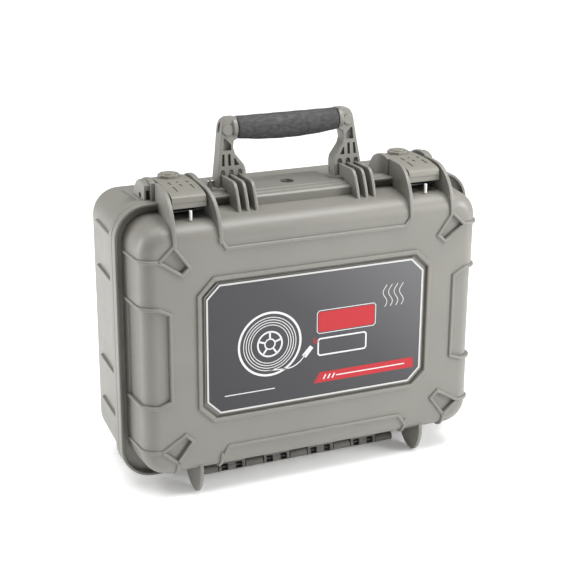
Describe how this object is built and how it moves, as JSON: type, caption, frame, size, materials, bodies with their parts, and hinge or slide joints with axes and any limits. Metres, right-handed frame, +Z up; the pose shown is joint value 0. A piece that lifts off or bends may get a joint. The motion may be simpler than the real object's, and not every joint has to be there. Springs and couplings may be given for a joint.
{
  "type": "wire feeder",
  "caption": "Portable welding wire feeder in a hinged carrying case: folding top handle, claw latches, wire spool, driven feed rolls, controls and side sockets.",
  "frame": {"origin": "middle of the footprint, on the surface the case stands on", "axes": "+X to the right seen from the lid, +Y from the lid to the back of the base, +Z up"},
  "size_m": [0.433, 0.1794, 0.4129],
  "materials": {
    "case_plastic": "fine moulded texture",
    "latch_plastic": "fine moulded texture",
    "grip_rubber": "soft overmould with a mottled grain",
    "seal_rubber": "smooth",
    "label_print": "printed sheet, satin",
    "steel": "plain",
    "aluminium": "machined",
    "brass": "turned",
    "black_plastic": "moulded",
    "red_plastic": "moulded",
    "board": "solder mask",
    "light_plastic": "moulded"
  },
  "bodies": {
    "case": {"base_shell": "case_plastic", "hinge_pin": "steel", "pressure_valve": "black_plastic", "latch_pin_left": "steel", "latch_pin_right": "steel", "handle_pin_left": "steel", "handle_pin_right": "steel", "deck_plate": "aluminium", "deck_post_1": "light_plastic", "deck_post_2": "light_plastic", "deck_post_3": "light_plastic", "deck_post_4": "light_plastic", "deck_screw_1": "steel", "deck_screw_2": "steel", "deck_screw_3": "steel", "deck_screw_4": "steel", "spool_spindle": "steel", "feed_plate": "aluminium", "gearbox": "aluminium", "drive_motor": "steel", "inlet_guide": "brass", "outlet_guide": "brass", "feed_wire": "steel", "arm_pin": "steel", "control_pod": "black_plastic", "control_board": "board", "contactor": "black_plastic", "gun_socket": "brass", "power_socket_positive": "black_plastic", "power_socket_negative": "black_plastic"},
    "lid": {"lid_shell": "case_plastic", "lid_gasket": "seal_rubber", "label_plate": "label_print", "keeper_pin_left": "steel", "keeper_pin_right": "steel", "latch_rest_left": "light_plastic", "latch_rest_right": "light_plastic"},
    "latch_left": {"latch_lever_left": "latch_plastic"},
    "latch_right": {"latch_lever_right": "latch_plastic"},
    "button_left": {"latch_button_left": "latch_plastic"},
    "button_right": {"latch_button_right": "latch_plastic"},
    "handle": {"handle_frame": "case_plastic", "handle_grip": "grip_rubber"},
    "spool": {"wire_spool": "black_plastic", "wire_winding": "steel", "spool_hub": "red_plastic", "spool_nut": "black_plastic"},
    "drive_shaft": {"output_shaft": "steel", "drive_roll": "steel", "roll_retainer": "black_plastic"},
    "pressure_arm": {"pressure_arm": "aluminium", "roll_axle": "steel", "tension_rod": "steel", "tension_spring": "steel"},
    "pressure_roll": {"pressure_roll": "steel"},
    "tension_knob": {"tension_knob": "black_plastic"},
    "speed_knob": {"speed_knob": "black_plastic"},
    "power_switch": {"power_switch": "red_plastic"},
    "jog_button": {"jog_button": "red_plastic"}
  },
  "joints": [
    {"name": "lid_hinge", "type": "hinge", "parent": "case", "child": "lid", "pos_m": [0, -0.036, 0.0065], "axis": [1, 0, 0], "range_deg": [0, 100]},
    {"name": "latch_left_hinge", "type": "hinge", "parent": "case", "child": "latch_left", "pos_m": [-0.1416, -0.0066, 0.3365], "axis": [-1, 0, 0], "range_deg": [0, 45]},
    {"name": "latch_right_hinge", "type": "hinge", "parent": "case", "child": "latch_right", "pos_m": [0.1416, -0.0066, 0.3365], "axis": [-1, 0, 0], "range_deg": [0, 45]},
    {"name": "latch_left_button", "type": "slide", "parent": "latch_left", "child": "button_left", "axis": [0, 0, -1], "range_m": [0, 0.0015], "stiffness_N_per_m": 400},
    {"name": "latch_right_button", "type": "slide", "parent": "latch_right", "child": "button_right", "axis": [0, 0, -1], "range_m": [0, 0.0015], "stiffness_N_per_m": 400},
    {"name": "handle_hinge", "type": "hinge", "parent": "case", "child": "handle", "pos_m": [0, -0.001, 0.3415], "axis": [-1, 0, 0], "range_deg": [-5, 77]},
    {"name": "spool_spin", "type": "hinge", "parent": "case", "child": "spool", "pos_m": [-0.092, 0.008, 0.172], "axis": [0, -1, 0], "continuous": true},
    {"name": "drive_roll_spin", "type": "hinge", "parent": "case", "child": "drive_shaft", "pos_m": [0.07, 0.008, 0.073], "axis": [0, 1, 0], "continuous": true},
    {"name": "pressure_arm_pivot", "type": "hinge", "parent": "case", "child": "pressure_arm", "pos_m": [0.045, 0.008, 0.114], "axis": [0, -1, 0], "range_deg": [0, 45]},
    {"name": "pressure_roll_spin", "type": "hinge", "parent": "pressure_arm", "child": "pressure_roll", "pos_m": [0.07, 0.008, 0.1011], "axis": [0, 1, 0], "continuous": true},
    {"name": "tension_knob_turn", "type": "hinge", "parent": "pressure_arm", "child": "tension_knob", "pos_m": [0.101, 0.008, 0.15], "axis": [0, 0, 1], "range_deg": [0, 720]},
    {"name": "speed_knob_turn", "type": "hinge", "parent": "case", "child": "speed_knob", "pos_m": [0.076, 0.0055, 0.25], "axis": [0, 1, 0], "range_deg": [0, 270]},
    {"name": "power_switch_rock", "type": "hinge", "parent": "case", "child": "power_switch", "pos_m": [0.13, 0.0155, 0.25], "axis": [-1, 0, 0], "range_deg": [0, 16]},
    {"name": "jog_button_press", "type": "slide", "parent": "case", "child": "jog_button", "axis": [0, 1, 0], "range_m": [0, 0.002], "stiffness_N_per_m": 300}
  ],
  "couplings": [
    {"joint": "drive_roll_spin", "follows": "spool_spin", "ratio": 5.6},
    {"joint": "pressure_roll_spin", "follows": "spool_spin", "ratio": -6.8293}
  ]
}
